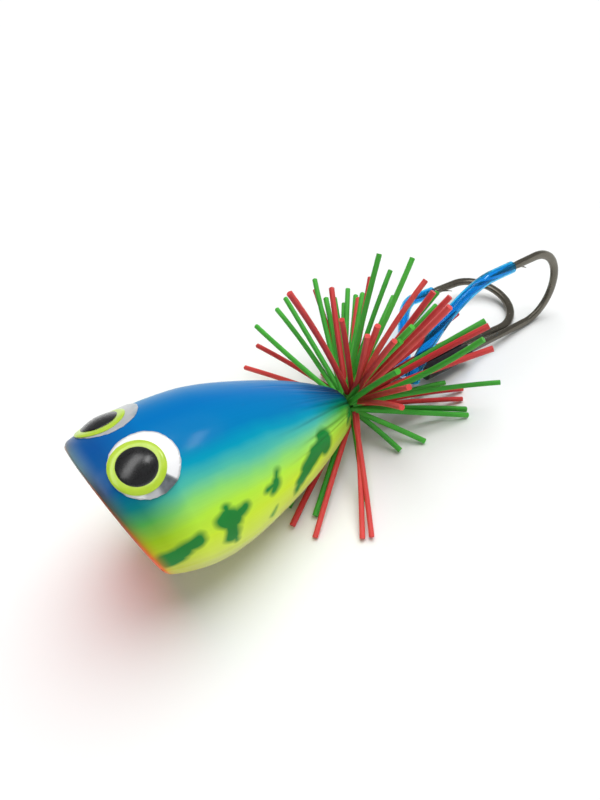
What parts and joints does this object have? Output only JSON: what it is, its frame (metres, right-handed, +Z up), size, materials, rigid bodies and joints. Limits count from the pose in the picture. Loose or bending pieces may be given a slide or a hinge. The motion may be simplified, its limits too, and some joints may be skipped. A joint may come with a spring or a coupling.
{
  "type": "frog popper fishing lure",
  "caption": "Cup-faced topwater popper for snakehead with wrapped wooden body, big eyes, rubber skirt and a tail ring carrying splayed hooks with guard tubes.",
  "frame": {"origin": "centre of the small resting flat planed on the belly, on the floor", "axes": "+X towards the tail and hooks, -X towards the nose, -Y the lure's left side, +Z up as the lure lies"},
  "size_m": [0.0992, 0.0504, 0.031],
  "materials": {
    "face_orange": "orange paint, gloss",
    "wrap_paint": "painted film, blue back to yellow belly, gloss",
    "lead": "dull",
    "steel_wire": "bright",
    "foil": "holographic foil",
    "lime": "gloss",
    "pupil_black": "gloss",
    "rubber_green": "satin",
    "rubber_red": "satin",
    "rubber_black": "matte",
    "black_nickel": "black nickel",
    "tube_blue": "translucent gloss"
  },
  "bodies": {
    "lure": {"body_core": "face_orange", "painted_wrap": "wrap_paint", "ballast_slug": "lead", "through_wire": "steel_wire", "eye_foil_left": "foil", "eye_ring_left": "lime", "eye_pupil_left": "pupil_black", "eye_foil_right": "foil", "eye_ring_right": "lime", "eye_pupil_right": "pupil_black", "skirt_sleeve": "rubber_black", "skirt_green": "rubber_green", "skirt_red": "rubber_red", "skirt_stop_band": "rubber_black"},
    "ring": {"split_ring": "steel_wire"},
    "left_hook": {"hook_left": "black_nickel", "shank_sleeve_left": "rubber_black", "guard_tube_left": "tube_blue"},
    "right_hook": {"hook_right": "black_nickel", "shank_sleeve_right": "rubber_black", "guard_tube_right": "tube_blue"}
  },
  "joints": [
    {"name": "ring_swing", "type": "hinge", "parent": "lure", "child": "ring", "pos_m": [0.0321, 0, 0.00552], "axis": [0.0523, 0.9986, 0], "range_deg": [-30, 60]},
    {"name": "left_hook_swing", "type": "hinge", "parent": "ring", "child": "left_hook", "pos_m": [0.03751, -0.00219, 0.00504], "axis": [0.0755, 0.9971, 0], "range_deg": [-15, 25]},
    {"name": "right_hook_swing", "type": "hinge", "parent": "ring", "child": "right_hook", "pos_m": [0.03771, 0.00162, 0.00504], "axis": [0.1326, 0.9912, 0], "range_deg": [-15, 25]}
  ]
}
